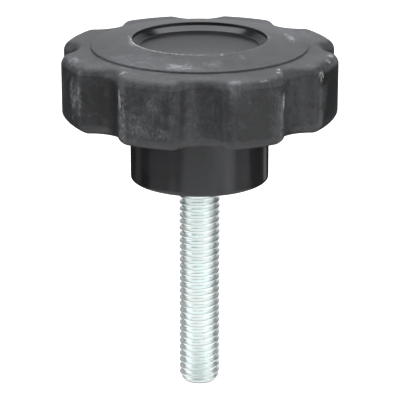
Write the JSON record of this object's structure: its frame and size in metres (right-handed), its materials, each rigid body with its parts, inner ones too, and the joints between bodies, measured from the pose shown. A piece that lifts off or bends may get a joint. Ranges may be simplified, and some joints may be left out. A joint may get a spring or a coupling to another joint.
{
  "type": "eight-arm knob",
  "caption": "Round fluted clamping knob with a soft black grip over a hard plastic hub, a dished cap face and a long zinc-plated threaded stud for hand tightening.",
  "frame": {"origin": "middle of the hub's seat face, on the stud's axis", "axes": "+Z along the stud's axis, from the seat face up to the recess in the top; a flute lies on +X and on +Y"},
  "size_m": [0.0626, 0.0626, 0.0837],
  "materials": {
    "grip_rubber": "matte soft-touch moulding, chalky and scuffed",
    "hub_plastic": "smooth satin moulding",
    "stud_zinc": "bright zinc plating over a rolled thread"
  },
  "bodies": {
    "root": {"grip": "grip_rubber", "hub": "hub_plastic", "stud": "stud_zinc"}
  },
  "joints": []
}
